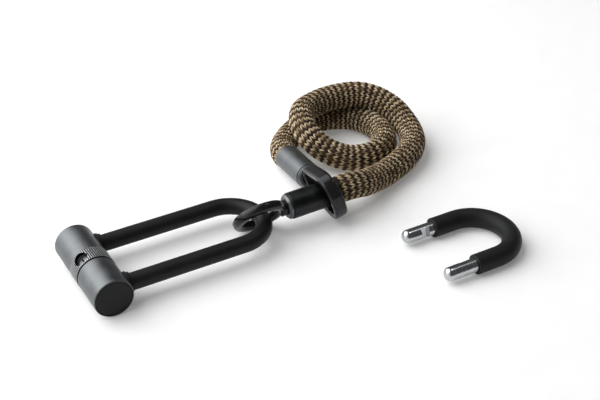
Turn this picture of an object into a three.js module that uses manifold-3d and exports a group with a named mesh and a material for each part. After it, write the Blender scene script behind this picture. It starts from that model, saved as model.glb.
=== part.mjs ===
// A bicycle U-lock with a textile rope: a round crossbar, a long U-shaped shackle, a rope with
// two forged eyelets, and a short spare shackle that fits the same crossbar.
// Millimetres, +Z up. The crossbar runs along Y, and both shackles lie flat and open towards -X.
import * as THREE from "three";
import { mergeVertices } from "three/addons/utils/BufferGeometryUtils.js";
import Module from "manifold-3d";

const wasm = await Module();
wasm.setup();

// ---------- driving dimensions ----------
const GAP = 0.3; // clearance between pieces that touch or rest on each other
const REACH = 5; // how far a cutting tool runs on past the piece that it cuts
const ROUND = 36; // facets round a turned piece
const FINE_ROUND = 24; // facets round a small turned piece
const ROD_SIDES = 16; // facets round a shackle
const BOW_STEPS = 18; // steps round a shackle's bow

// crossbar
const BAR_LENGTH = 97.6;
const BAR_R = 18.3; // outer radius of the two body tubes
const TUBE_WALL = 2.8;
const TUBE_EDGE = 1.2; // rounding of a tube's outer end
const COVER_WIDTH = 16.6; // the turning ribbed cover, along Y
const COVER_R = 18.7;
const COVER_RIBS = 60;
const RIB_HEIGHT = 0.5;
const RIB_TOP = [0, 0.45]; // where a rib's flat top lies, in shares of the pitch
const RIB_FOOT = [0.6, 0.85]; // where the groove's floor lies
const WINDOW_R = 6.9; // round window over the keyhole
const SEAL_WIDTH = 0.8; // dark ring in the seam beside the cover
const CAP_R = 17.2;
const CAP_RIM = 2.6; // thickness of an end cap's disc
const CAP_PLUG = 3.4; // how far an end cap reaches into its tube
const CAP_INSET = 0.1;
const CAP_BEVEL = 0.5;
const KEY_TILT = 56; // degrees that the keyhole is turned up from -X

// shackles: both take the same holes in the crossbar
const LEG_SPACING = 67;
const STEEL_R = 6.6; // hardened bar
const BARE_LENGTH = 33; // steel left bare at the end of each leg
const TIP_PROFILE = [ // a leg's domed tip: share of the radius, distance from the end
  [0, 0],
  [0.42, 0.5],
  [0.78, 2],
  [0.96, 4.2],
  [1, 6.2],
];
const NOTCH_START = 17.6; // from the tip of a leg to its locking notch
const NOTCH_WIDTH = 8.5;
const NOTCH_DEPTH = 3.7;
const COLLAR_FACE = 21.2; // distance from the crossbar's axis to a collar's outer face
const COLLAR_R = 10.8;
const LONG_COAT_R = 8;
const LONG_STRAIGHT = 111; // coated length of a long leg, up to the bow
const SHORT_COAT_R = 9.4;
const SHORT_STRAIGHT = 24.8;
const SPARE_AT = [326.4, -120.8]; // centre of the spare shackle's bow

// lock mechanism, in a frame that is turned by KEY_TILT about the crossbar's axis
const HOUSING_R = BAR_R - TUBE_WALL - GAP;
const HOUSING_LENGTH = 82;
const CYLINDER_R = 6.2;
const CYLINDER_FACE = 13.8; // height of the keyhole's face above the crossbar's axis
const CYLINDER_BACK = -2.2;
const PLUG_R = 4.4;
const KEYWAY = { wide: 1.4, high: 6.8, depth: 10 };
const CAM_R = 5.2;
const CAM_THICK = 2;
const CAM_PIN_R = 1.2;
const CAM_PIN_AT = 3.5; // radius of the two drive pins' circle, and the bolts' travel
const BOLT_WIDE = 6.4;
const BOLT_THICK = 5;
const BOLT_CLEARANCE = 0.6; // between a drawn-back bolt and the leg
const BOLT_NOSE_FROM = 7.7; // where a bolt's thick nose begins, along the crossbar
const TAIL_THICK = 2;
const TAIL_OVERLAP = 3.5; // how far a bolt's thin tail runs into its nose

// rope and eyelets
const ROPE_R = 13.1;
const ROPE_SIDES = 10;
const ROPE_STEPS = 60;
const FERRULE_R = 12.9;
const SMALL_EYE = { mean: 21.7, thick: 9.2, round: 3.6, lean: 37 };
const SMALL_EYE_AT = [162.8, -4.8, 22.25];
const SMALL_AIM = { yaw: -2.6, pitch: 3 }; // degrees: which way the small eyelet's ferrule points
const SMALL_FERRULE = { start: 31, length: 50 }; // along the axis, from the eyelet's centre
const NECK_R = 7.4;
const SHANK_DEPTH = 14; // how far an eyelet's neck reaches into its ferrule
const RING_WIDTH = 3.4;
const RING_STEP = 0.8; // how much smaller the ring is than the ferrule
const RING_BEVEL = 1.7;
const FERRULE_EDGE = 1;
const EYE_PIN_R = 3.3;
const EYE_PIN_ANGLE = 40; // round the small eyelet's rim, from its neck
const CORE_R = 8;
const CORE_GRIP = 18; // how far the rope's core reaches into a ferrule
const LARGE_EYE = {
  rear: 17, // half height beside the ferrule
  front: 28.6, // half height at the front bar
  length: 69,
  thick: 6.4,
  wide: 13,
  corner: 14, // rounding beside the ferrule
  bow: 22, // rounding of the front
  web: 5, // thickness of the bar that holds the neck
  edge: 2.4, // rounding of all its edges
  lean: -17,
};
const LARGE_FERRULE_AT = [238, 34.5, 21.6]; // centre of the ferrule's end beside the large eyelet
const LARGE_AIM = { yaw: 85.6, pitch: -6.2 };
const LARGE_FERRULE = { length: 50 };

// the rope's centre line, from the small ferrule round two turns to the large ferrule
const ROPE_POINTS = [
  [244.5, -8.5, 26.6],
  [255, -8.8, 26.9],
  [268, -7.5, 25],
  [282, -3, 20.3],
  [298, 4, 16.2],
  [320, 13, 13.8],
  [344, 24, 13.8],
  [365.5, 41, 14],
  [376.5, 60, 16],
  [380, 79, 20.5],
  [377.5, 97.5, 28],
  [367.5, 113, 35],
  [352, 124.5, 39.5],
  [333.5, 130, 40.5],
  [314, 131, 40.5],
  [296, 127.5, 40.5],
  [281, 120, 40.5],
  [272, 107, 38.5],
  [268.5, 91.5, 33.5],
  [272.5, 76, 26],
  [282, 63, 19.5],
  [295, 53.5, 15],
  [311, 48, 13.8],
  [328, 49.5, 13.7],
  [341, 58, 13.7],
  [350, 71.5, 13.7],
  [354.5, 88.5, 13.7],
  [352.5, 107, 13.7],
  [343.5, 123.5, 13.7],
  [327.5, 134.5, 13.7],
  [309.5, 139, 13.7],
  [291, 136.5, 13.7],
  [274.5, 129, 13.7],
  [260.5, 118.5, 13.9],
  [250, 107.5, 14.2],
  [243.8, 95.5, 14.9],
  [241.9, 85.3, 16.1],
];
// the ends of the rope's core, inside the two ferrules
const CORE_ENDS = [
  [226.7, -7.7, 25.7],
  [240.5, 66.8, 18.1],
];

// ---------- materials ----------
function finish(color, roughness, metalness) {
  return new THREE.MeshStandardMaterial({ color, roughness, metalness });
}
const GUNMETAL = () => finish(0x6a6d70, 0.42, 0.9);
const BLACK_PLASTIC = () => finish(0x1d1e1f, 0.65, 0);
const BLACK_RUBBER = () => finish(0x222324, 0.8, 0);
const BLACK_STEEL = () => finish(0x141517, 0.25, 0.6);
const CHROME = () => finish(0xd4d7da, 0.15, 1);
const PLAIN_STEEL = () => finish(0x8d9196, 0.4, 0.9);
const BRASS = () => finish(0xa98d52, 0.4, 0.9);
const TEXTILE = () => finish(0x6b5a45, 0.95, 0);

// ---------- solids ----------
function toSolid(geometry) {
  const bare = geometry.clone();
  bare.deleteAttribute("normal");
  bare.deleteAttribute("uv");
  const merged = mergeVertices(bare, 1e-4);
  return new wasm.Manifold(
    new wasm.Mesh({
      numProp: 3,
      vertProperties: new Float32Array(merged.attributes.position.array),
      triVerts: new Uint32Array(merged.index.array),
    }),
  );
}

function toGeometry(solid) {
  const mesh = solid.getMesh();
  const geometry = new THREE.BufferGeometry();
  geometry.setAttribute("position", new THREE.BufferAttribute(mesh.vertProperties, 3));
  geometry.setIndex(new THREE.BufferAttribute(mesh.triVerts, 1));
  return geometry.toNonIndexed();
}

function join(first, ...others) {
  return toGeometry(others.reduce((sum, other) => sum.add(toSolid(other)), toSolid(first)));
}

function cut(first, ...tools) {
  return toGeometry(tools.reduce((rest, tool) => rest.subtract(toSolid(tool)), toSolid(first)));
}

function named(name, geometry, material) {
  geometry.computeVertexNormals();
  const mesh = new THREE.Mesh(geometry, material);
  mesh.name = name;
  return mesh;
}

function group(position, ...children) {
  const made = new THREE.Group();
  made.position.set(...position);
  made.add(...children);
  return made;
}

// A solid of revolution about +Y from [radius, height] points, bottom to top along the outside.
function turned(points, segments = ROUND) {
  return new THREE.LatheGeometry(
    points.map(([radius, height]) => new THREE.Vector2(radius, height)),
    segments,
  );
}

// A pipe along +Y between two heights; with no inner radius, a plain rod.
function pipe(outer, inner, low, high, segments = ROUND) {
  if (!inner) return turned([[0, low], [outer, low], [outer, high], [0, high]], segments);
  return turned([[inner, low], [outer, low], [outer, high], [inner, high], [inner, low]], segments);
}

// The same pipe or rod along +X, starting at a given place.
function pipeAlongX(outer, inner, low, high, y = 0, segments = ROUND) {
  return pipe(outer, inner, low, high, segments).rotateZ(-Math.PI / 2).translate(0, y, 0);
}

function block(low, high) {
  const size = high.map((value, i) => value - low[i]);
  const middle = high.map((value, i) => (value + low[i]) / 2);
  return new THREE.BoxGeometry(...size).translate(...middle);
}

function disc(radius, sides, hole = 0) {
  const ring = (r) =>
    Array.from({ length: sides }, (_, i) => {
      const angle = (2 * Math.PI * i) / sides;
      return new THREE.Vector2(r * Math.cos(angle), r * Math.sin(angle));
    });
  const shape = new THREE.Shape(ring(radius));
  if (hole) shape.holes.push(new THREE.Path(ring(hole)));
  return shape;
}

// ---------- crossbar ----------
// Round pieces are turned about Y, the crossbar's axis, which is the local origin.
const coverHalf = COVER_WIDTH / 2;
const barHalf = BAR_LENGTH / 2;
const tubeBore = BAR_R - TUBE_WALL;

function legHole(radius, side) {
  return pipeAlongX(radius, 0, 0, BAR_R + REACH, (side * LEG_SPACING) / 2);
}

function bodyTube(name, side, inside) {
  const capSeat = CAP_R + GAP;
  const seatFloor = barHalf - CAP_RIM - GAP;
  const tube = turned([
    [tubeBore, inside],
    [BAR_R, inside],
    [BAR_R, barHalf - TUBE_EDGE],
    [BAR_R - 0.3 * TUBE_EDGE, barHalf - 0.3 * TUBE_EDGE],
    [(BAR_R + capSeat) / 2, barHalf],
    [capSeat, barHalf],
    [capSeat, seatFloor],
    [tubeBore, seatFloor],
    [tubeBore, inside],
  ]);
  if (side < 0) tube.rotateX(Math.PI);
  return named(name, cut(tube, legHole(COLLAR_R + GAP, side)), GUNMETAL());
}

function endCap(name, side) {
  const plugR = tubeBore - GAP;
  const rimBack = barHalf - CAP_RIM;
  const face = barHalf - CAP_INSET;
  const cap = turned([
    [0, rimBack - CAP_PLUG],
    [plugR, rimBack - CAP_PLUG],
    [plugR, rimBack],
    [CAP_R, rimBack],
    [CAP_R, face - CAP_BEVEL],
    [CAP_R - CAP_BEVEL, face],
    [0, face],
  ]);
  if (side < 0) cap.rotateX(Math.PI);
  return named(name, cap, BLACK_PLASTIC());
}

// The fluted outline of the cover, with a bore for the housing.
function ribbedDisc() {
  const points = [];
  const add = (turn, radius) => {
    const angle = (2 * Math.PI * turn) / COVER_RIBS;
    points.push(new THREE.Vector2(radius * Math.cos(angle), radius * Math.sin(angle)));
  };
  for (let rib = 0; rib < COVER_RIBS; rib += 1) {
    RIB_TOP.forEach((part) => add(rib + part, COVER_R));
    RIB_FOOT.forEach((part) => add(rib + part, COVER_R - RIB_HEIGHT));
  }
  const shape = new THREE.Shape(points);
  shape.holes.push(disc(tubeBore, ROUND));
  return shape;
}

function dustCover() {
  const sleeve = new THREE.ExtrudeGeometry(ribbedDisc(), { depth: COVER_WIDTH, bevelEnabled: false });
  sleeve.translate(0, 0, -coverHalf).rotateX(Math.PI / 2);
  const keyWindow = rodAlongZ(WINDOW_R, 0, 0, COVER_R + REACH, ROUND);
  return named("dust_cover", cut(sleeve, inKeyFrame(keyWindow)), GUNMETAL());
}

// ---------- lock mechanism ----------
// The key frame has +Z along the keyhole, +X towards the bolts' side and +Y along the crossbar.
const keyTurn = -THREE.MathUtils.degToRad(90 - KEY_TILT);

function inKeyFrame(geometry) {
  return geometry.rotateY(keyTurn);
}

function rodAlongZ(outer, inner, low, high, segments = FINE_ROUND) {
  return pipe(outer, inner, low, high, segments).rotateX(Math.PI / 2);
}

// Where the bolts run: level with the shackle's notches, expressed in the key frame.
const notchX = COLLAR_FACE + GAP - BARE_LENGTH + NOTCH_START + NOTCH_WIDTH / 2;
const boltX = notchX * Math.cos(keyTurn);
const boltZ = notchX * Math.sin(keyTurn);
const camFloor = boltZ + TAIL_THICK / 2 + GAP;
const camTop = camFloor + CAM_THICK;
const boltTip = LEG_SPACING / 2 - STEEL_R - BOLT_CLEARANCE;
const tailStart = CAM_PIN_R + 3 * GAP;

function housing() {
  const half = HOUSING_LENGTH / 2;
  const legDepth = BARE_LENGTH - COLLAR_FACE + GAP;
  const legBore = (side) => pipeAlongX(STEEL_R + GAP, 0, -legDepth, BAR_R, (side * LEG_SPACING) / 2);
  const cylinderBore = rodAlongZ(CYLINDER_R + GAP, 0, CYLINDER_BACK - GAP, BAR_R + REACH);
  const camRoom = rodAlongZ(CAM_R + 2 * GAP, 0, boltZ - TAIL_THICK, CYLINDER_BACK);
  const noseRoom = block(
    [boltX - BOLT_WIDE / 2 - GAP, -boltTip - REACH, boltZ - BOLT_THICK / 2 - GAP],
    [boltX + BOLT_WIDE / 2 + GAP, boltTip + REACH, boltZ + BOLT_THICK / 2 + GAP],
  );
  const tailRoom = block(
    [-CAM_R, REACH - boltTip, boltZ - TAIL_THICK / 2 - GAP],
    [boltX, boltTip - REACH, boltZ + TAIL_THICK / 2 + GAP],
  );
  const body = cut(
    pipe(HOUSING_R, 0, -half, half),
    legBore(-1),
    legBore(1),
    inKeyFrame(cylinderBore),
    inKeyFrame(camRoom),
    inKeyFrame(noseRoom),
    inKeyFrame(tailRoom),
  );
  return named("lock_housing", body, PLAIN_STEEL());
}

function cylinderShell() {
  const shell = rodAlongZ(CYLINDER_R, PLUG_R + GAP, CYLINDER_BACK, CYLINDER_FACE);
  return named("cylinder_shell", inKeyFrame(shell), PLAIN_STEEL());
}

function keyPlug() {
  const { wide, high, depth } = KEYWAY;
  const keyway = block(
    [-wide / 2, -high / 2, CYLINDER_FACE - depth],
    [wide / 2, high / 2, CYLINDER_FACE + REACH],
  );
  const plug = rodAlongZ(PLUG_R, 0, camTop + GAP, CYLINDER_FACE - GAP);
  return named("key_plug", inKeyFrame(cut(plug, keyway)), PLAIN_STEEL());
}

function driveCam() {
  const plate = rodAlongZ(CAM_R, 0, camFloor, camTop);
  const pin = (side) =>
    rodAlongZ(CAM_PIN_R, 0, boltZ - TAIL_THICK / 2, camTop - CAM_THICK / 2, ROD_SIDES)
      .translate(side * CAM_PIN_AT, 0, 0);
  return named("drive_cam", inKeyFrame(join(plate, pin(-1), pin(1))), BRASS());
}

function bolt(name, side) {
  const bySide = (low, high) => (side > 0 ? [low, high] : [-high, -low]);
  const [noseLow, noseHigh] = bySide(BOLT_NOSE_FROM, boltTip);
  const [tailLow, tailHigh] = bySide(tailStart, BOLT_NOSE_FROM + TAIL_OVERLAP);
  const nose = block(
    [boltX - BOLT_WIDE / 2, noseLow, boltZ - BOLT_THICK / 2],
    [boltX + BOLT_WIDE / 2, noseHigh, boltZ + BOLT_THICK / 2],
  );
  const tail = block(
    [-CAM_R + GAP, tailLow, boltZ - TAIL_THICK / 2],
    [boltX, tailHigh, boltZ + TAIL_THICK / 2],
  );
  return named(name, inKeyFrame(join(nose, tail)), PLAIN_STEEL());
}

function legCollar(name, side) {
  const seat = Math.sqrt(HOUSING_R ** 2 - COLLAR_R ** 2);
  const flange = pipeAlongX(COLLAR_R, STEEL_R + GAP, seat, COLLAR_FACE, (side * LEG_SPACING) / 2);
  const core = pipe(HOUSING_R + GAP, 0, -barHalf, barHalf);
  return named(name, cut(flange, core), BLACK_PLASTIC());
}

function seal() {
  const far = -coverHalf - GAP;
  const radius = BAR_R - 2 * GAP;
  return named("cover_seal", pipe(radius, tubeBore, far - SEAL_WIDTH, far), BLACK_RUBBER());
}

function crossbar() {
  return [
    bodyTube("body_tube_far", 1, coverHalf + GAP),
    bodyTube("body_tube_near", -1, coverHalf + SEAL_WIDTH + 2 * GAP),
    endCap("end_cap_far", 1),
    endCap("end_cap_near", -1),
    legCollar("leg_collar_far", 1),
    legCollar("leg_collar_near", -1),
    seal(),
    dustCover(),
    housing(),
    cylinderShell(),
    keyPlug(),
    driveCam(),
    bolt("locking_bolt_far", 1),
    bolt("locking_bolt_near", -1),
  ];
}

// ---------- shackles ----------
// A U in the XY plane: legs along X, the bow's centre at the origin and the legs' ends at -X.
class UCurve extends THREE.Curve {
  constructor(straight, bowSteps) {
    super();
    this.straight = straight;
    this.bowSteps = bowSteps;
  }
  getPoint(t, target = new THREE.Vector3()) {
    const step = t * (this.bowSteps + 2) - 1;
    const radius = LEG_SPACING / 2;
    if (step <= 0) return target.set(this.straight * step, -radius, 0);
    if (step >= this.bowSteps) return target.set(this.straight * (this.bowSteps - step), radius, 0);
    const angle = (Math.PI * step) / this.bowSteps - Math.PI / 2;
    return target.set(radius * Math.cos(angle), radius * Math.sin(angle), 0);
  }
  getPointAt(u, target) {
    return this.getPoint(u, target);
  }
  getTangentAt(u, target) {
    return this.getTangent(u, target);
  }
}

function sweptU(shape, straight) {
  const extrudePath = new UCurve(straight, BOW_STEPS);
  return new THREE.ExtrudeGeometry(shape, { steps: BOW_STEPS + 2, extrudePath });
}

function shackleSteel(name, straight) {
  const tip = TIP_PROFILE.map(([share, along]) => [share * STEEL_R, along - BARE_LENGTH]);
  const leg = (side) =>
    turned([...tip, [STEEL_R, REACH], [0, REACH]], ROD_SIDES)
      .rotateZ(-Math.PI / 2)
      .translate(-straight, (side * LEG_SPACING) / 2, 0);
  const notch = (side) => {
    const start = -straight - BARE_LENGTH + NOTCH_START;
    const face = side * (LEG_SPACING / 2 - STEEL_R + NOTCH_DEPTH);
    const outside = side * (LEG_SPACING / 2 - STEEL_R - REACH);
    return block(
      [start, Math.min(face, outside), -STEEL_R - REACH],
      [start + NOTCH_WIDTH, Math.max(face, outside), STEEL_R + REACH],
    );
  };
  const bar = join(sweptU(disc(STEEL_R, ROD_SIDES), straight), leg(-1), leg(1));
  return named(name, cut(bar, notch(-1), notch(1)), CHROME());
}

function shackleCoating(name, straight, coatR) {
  return named(name, sweptU(disc(coatR, ROD_SIDES, STEEL_R + GAP), straight), BLACK_RUBBER());
}

function longShackle() {
  const bowX = COLLAR_FACE + GAP + LONG_STRAIGHT;
  return group(
    [bowX, 0, 0],
    shackleSteel("long_shackle_steel", LONG_STRAIGHT),
    shackleCoating("long_shackle_coating", LONG_STRAIGHT, LONG_COAT_R),
  );
}

function shortShackle() {
  return group(
    [SPARE_AT[0], SPARE_AT[1], SHORT_COAT_R],
    shackleSteel("short_shackle_steel", SHORT_STRAIGHT),
    shackleCoating("short_shackle_coating", SHORT_STRAIGHT, SHORT_COAT_R),
  );
}

// ---------- rope and eyelets ----------
// An aimed group has its local +X along the ferrule, turned by yaw about Z and pitched up.
function aimed(position, { yaw, pitch }, ...children) {
  const made = group(position, ...children);
  made.rotation.set(0, -THREE.MathUtils.degToRad(pitch), THREE.MathUtils.degToRad(yaw), "ZYX");
  return made;
}

// The section of the small eyelet's ring: a square bar with rounded corners, at its mean radius.
function eyeletSection() {
  const { mean, thick, round } = SMALL_EYE;
  const cornerSteps = 3;
  const points = [];
  for (let side = 0; side < 4; side += 1) {
    const outward = side === 0 || side === 3 ? 1 : -1;
    const upward = side < 2 ? 1 : -1;
    for (let k = 0; k <= cornerSteps; k += 1) {
      const angle = (Math.PI / 2) * (side + k / cornerSteps);
      const x = outward * (thick / 2 - round) + round * Math.cos(angle);
      const y = upward * (thick / 2 - round) + round * Math.sin(angle);
      points.push([mean + x, y]);
    }
  }
  return [...points, points[0]];
}

function leaned(geometry) {
  return geometry.rotateX(THREE.MathUtils.degToRad(SMALL_EYE.lean));
}

function smallEyelet() {
  const { mean, thick } = SMALL_EYE;
  const loop = turned(eyeletSection());
  const neck = pipeAlongX(NECK_R, 0, mean, SMALL_FERRULE.start + SHANK_DEPTH, 0, FINE_ROUND);
  const hole = pipe(mean - thick / 2, 0, -thick, thick);
  const pinSeat = eyeletPinRod(EYE_PIN_R, mean, mean + thick);
  const body = cut(join(loop, neck), hole, pinSeat);
  return named("small_eyelet", leaned(body), BLACK_STEEL());
}

function eyeletPinRod(radius, low, high) {
  const rod = pipeAlongX(radius, 0, low, high, 0, ROD_SIDES);
  return rod.rotateY(-THREE.MathUtils.degToRad(EYE_PIN_ANGLE));
}

// A blind pin pressed into the eyelet's rim beside the neck.
function eyeletPin() {
  const { mean, thick } = SMALL_EYE;
  const pin = eyeletPinRod(EYE_PIN_R - GAP, mean + GAP, mean + thick / 2 - GAP);
  return named("eyelet_pin", leaned(pin), PLAIN_STEEL());
}

// A cup that grips the rope: its closed end is at x = start, its mouth faces +X.
function ferrule(name, start, length) {
  const mouth = start + length;
  const ropeEnd = mouth - CORE_GRIP - 2 * GAP;
  const cup = turned([
    [NECK_R + GAP, start],
    [FERRULE_R - FERRULE_EDGE, start],
    [FERRULE_R, start + FERRULE_EDGE],
    [FERRULE_R, mouth - FERRULE_EDGE],
    [FERRULE_R - FERRULE_EDGE, mouth],
    [CORE_R + GAP, mouth],
    [CORE_R + GAP, ropeEnd],
    [NECK_R + GAP, ropeEnd],
    [NECK_R + GAP, start],
  ]).rotateZ(-Math.PI / 2);
  return named(name, cup, GUNMETAL());
}

// The bevelled ring that closes a ferrule round the eyelet's neck.
function ferruleRing(name, start) {
  const front = start - GAP;
  const radius = FERRULE_R - RING_STEP;
  const ring = turned([
    [NECK_R + GAP, front - RING_WIDTH],
    [radius - RING_BEVEL, front - RING_WIDTH],
    [radius, front - RING_WIDTH + RING_BEVEL],
    [radius, front],
    [NECK_R + GAP, front],
    [NECK_R + GAP, front - RING_WIDTH],
  ]).rotateZ(-Math.PI / 2);
  return named(name, ring, GUNMETAL());
}

// A closed outline through the given corners, each rounded by its own radius.
function roundedOutline(corners, kind = THREE.Shape) {
  const outline = new kind();
  corners.forEach(([x, y, radius], i) => {
    const corner = new THREE.Vector2(x, y);
    const before = new THREE.Vector2(...corners.at(i - 1));
    const after = new THREE.Vector2(...corners[(i + 1) % corners.length]);
    const inward = before.clone().sub(corner).normalize();
    const onward = after.clone().sub(corner).normalize();
    const setback = radius / Math.tan(Math.acos(inward.dot(onward)) / 2);
    const start = corner.clone().addScaledVector(inward, setback);
    const end = corner.clone().addScaledVector(onward, setback);
    if (i === 0) outline.moveTo(start.x, start.y);
    else outline.lineTo(start.x, start.y);
    outline.quadraticCurveTo(x, y, end.x, end.y);
  });
  return outline;
}

// The stirrup-shaped eyelet: narrow at the ferrule, wide at the front, thin at its rear web.
function largeEyelet() {
  const { rear, front, length, thick, wide, corner, bow, web, edge, lean } = LARGE_EYE;
  const back = -RING_WIDTH - 2 * GAP;
  const shape = roundedOutline([
    [back, -rear, corner * 0.85],
    [back, rear, corner * 0.85],
    [-length, front, bow],
    [-length, -front, bow],
  ]);
  const hole = [
    [back - web, -rear + thick, corner / 3],
    [back - web, rear - thick, corner / 3],
    [-length + thick, front - thick, bow - thick],
    [-length + thick, -front + thick, bow - thick],
  ];
  shape.holes.push(roundedOutline(hole, THREE.Path));
  const plate = new THREE.ExtrudeGeometry(shape, {
    depth: wide - 2 * edge,
    bevelThickness: edge,
    bevelSize: edge,
    bevelOffset: -edge,
    bevelSegments: 2,
    curveSegments: 8,
  });
  plate.translate(0, 0, edge - wide / 2).rotateX(Math.PI / 2 + THREE.MathUtils.degToRad(lean));
  const neck = pipeAlongX(NECK_R - 1, 0, back - web / 2, SHANK_DEPTH, 0, FINE_ROUND);
  return named("large_eyelet", join(plate, neck), BLACK_STEEL());
}

function swept(name, section, points) {
  const extrudePath = new THREE.CatmullRomCurve3(points.map((point) => new THREE.Vector3(...point)));
  const geometry = new THREE.ExtrudeGeometry(section, { steps: ROPE_STEPS, extrudePath });
  return named(name, geometry, TEXTILE());
}

function rope() {
  const corePoints = [CORE_ENDS[0], ...ROPE_POINTS, CORE_ENDS[1]];
  return [
    swept("rope_sleeve", disc(ROPE_R, ROPE_SIDES, CORE_R + 4 * GAP), ROPE_POINTS),
    swept("rope_core", disc(CORE_R, ROPE_SIDES), corePoints),
  ];
}

function smallEnd() {
  const { start, length } = SMALL_FERRULE;
  return aimed(
    SMALL_EYE_AT,
    SMALL_AIM,
    smallEyelet(),
    eyeletPin(),
    ferruleRing("small_ferrule_ring", start),
    ferrule("small_ferrule", start, length),
  );
}

function largeEnd() {
  return aimed(
    LARGE_FERRULE_AT,
    LARGE_AIM,
    largeEyelet(),
    ferruleRing("large_ferrule_ring", 0),
    ferrule("large_ferrule", 0, LARGE_FERRULE.length),
  );
}

// ---------- the set, standing on its footprint's middle ----------
const lock = group([0, 0, COVER_R], ...crossbar(), longShackle());
const hardware = group([0, 0, 0], lock, shortShackle(), smallEnd(), largeEnd());
hardware.updateMatrixWorld(true);
const footprint = new THREE.Box3().setFromObject(hardware, true);
const middle = footprint.getCenter(new THREE.Vector3());
const part = group([-middle.x, -middle.y, -footprint.min.z], hardware, ...rope());
part.name = "u_lock_with_rope";

export default part;
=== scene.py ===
# The looks of a bicycle U-lock with a braided rope and a spare shackle, built round the CAD frame.
# Metres, +Z up. The crossbar runs along Y, and both shackles lie flat and open towards -X.
import math

import bpy
import numpy as np
from mathutils import Matrix, Vector


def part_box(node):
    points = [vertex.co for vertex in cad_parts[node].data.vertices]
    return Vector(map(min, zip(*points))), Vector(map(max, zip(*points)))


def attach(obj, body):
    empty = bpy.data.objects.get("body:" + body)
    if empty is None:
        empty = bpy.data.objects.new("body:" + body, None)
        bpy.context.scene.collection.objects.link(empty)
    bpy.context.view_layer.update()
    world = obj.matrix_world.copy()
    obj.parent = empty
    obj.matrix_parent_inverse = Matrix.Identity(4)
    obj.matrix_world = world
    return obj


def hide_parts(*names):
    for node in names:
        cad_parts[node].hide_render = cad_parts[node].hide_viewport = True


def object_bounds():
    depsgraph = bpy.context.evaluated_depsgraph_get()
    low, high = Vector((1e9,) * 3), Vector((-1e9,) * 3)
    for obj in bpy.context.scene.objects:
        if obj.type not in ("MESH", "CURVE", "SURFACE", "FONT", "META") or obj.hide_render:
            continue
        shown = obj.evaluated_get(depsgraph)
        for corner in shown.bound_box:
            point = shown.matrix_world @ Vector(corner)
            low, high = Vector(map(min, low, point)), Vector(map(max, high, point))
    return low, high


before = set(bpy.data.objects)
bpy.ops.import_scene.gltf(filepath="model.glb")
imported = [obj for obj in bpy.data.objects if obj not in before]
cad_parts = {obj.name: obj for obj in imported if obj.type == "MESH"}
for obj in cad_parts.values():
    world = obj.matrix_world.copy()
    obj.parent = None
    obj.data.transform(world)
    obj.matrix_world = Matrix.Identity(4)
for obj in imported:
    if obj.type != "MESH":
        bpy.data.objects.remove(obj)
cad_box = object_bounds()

# ---------- driving dimensions, as in the CAD part but for the ribs and edges ----------
MM = 0.001
GAP = 0.3 * MM
BAR_LENGTH = 97.6 * MM
BAR_R = 18.3 * MM
TUBE_WALL = 2.8 * MM
COVER_WIDTH = 16.6 * MM
COVER_R = 18.7 * MM
COVER_RIBS = 60
RIB_HEIGHT = 0.95 * MM  # deeper than the CAD's 0.5 mm, so that the grooves show from afar
WINDOW_R = 6.9 * MM
SEAL_WIDTH = 0.8 * MM
CAP_R = 17.2 * MM
CAP_RIM = 2.6 * MM
KEY_TILT = math.radians(56)
LEG_SPACING = 67 * MM
STEEL_R = 6.6 * MM
BARE_LENGTH = 33 * MM
NOTCH_START = 17.6 * MM
NOTCH_WIDTH = 8.5 * MM
NOTCH_DEPTH = 3.7 * MM
COLLAR_FACE = 21.2 * MM
COLLAR_R = 10.8 * MM
LONG_COAT_R = 8 * MM
LONG_STRAIGHT = 111 * MM
SHORT_COAT_R = 9.4 * MM
SHORT_STRAIGHT = 24.8 * MM
SPARE_AT = (326.4 * MM, -120.8 * MM)
CYLINDER_R = 6.2 * MM
CYLINDER_FACE = 13.8 * MM
CYLINDER_BACK = -2.2 * MM
PLUG_R = 4.4 * MM
ROPE_R = 13.1 * MM
FERRULE_R = 12.9 * MM
FERRULE_LENGTH = 50 * MM
NECK_R = 7.4 * MM
RING_WIDTH = 3.4 * MM
SMALL_EYE_MEAN = 21.7 * MM
SMALL_EYE_THICK = 9.2 * MM
SMALL_EYE_ROUND = 3.6 * MM
SMALL_EYE_LEAN = math.radians(37)
SMALL_EYE_AT = (162.8 * MM, -4.8 * MM, 22.25 * MM)
SMALL_AIM = (math.radians(-2.6), math.radians(3))  # yaw, pitch
SMALL_FERRULE_START = 31 * MM
SHANK_DEPTH = 14 * MM
EYE_PIN_R = 3.3 * MM
EYE_PIN_ANGLE = math.radians(40)
LARGE_EYE_REAR = 17 * MM
LARGE_EYE_FRONT = 28.6 * MM
LARGE_EYE_LENGTH = 69 * MM
LARGE_EYE_THICK = 6.4 * MM
LARGE_EYE_WIDE = 13 * MM
LARGE_EYE_CORNER = 14 * MM
LARGE_EYE_BOW = 22 * MM
LARGE_EYE_WEB = 5 * MM
LARGE_EYE_EDGE = 2.4 * MM
LARGE_EYE_LEAN = math.radians(-17)
LARGE_FERRULE_AT = (238 * MM, 34.5 * MM, 21.6 * MM)
LARGE_AIM = (math.radians(85.6), math.radians(-6.2))

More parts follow.
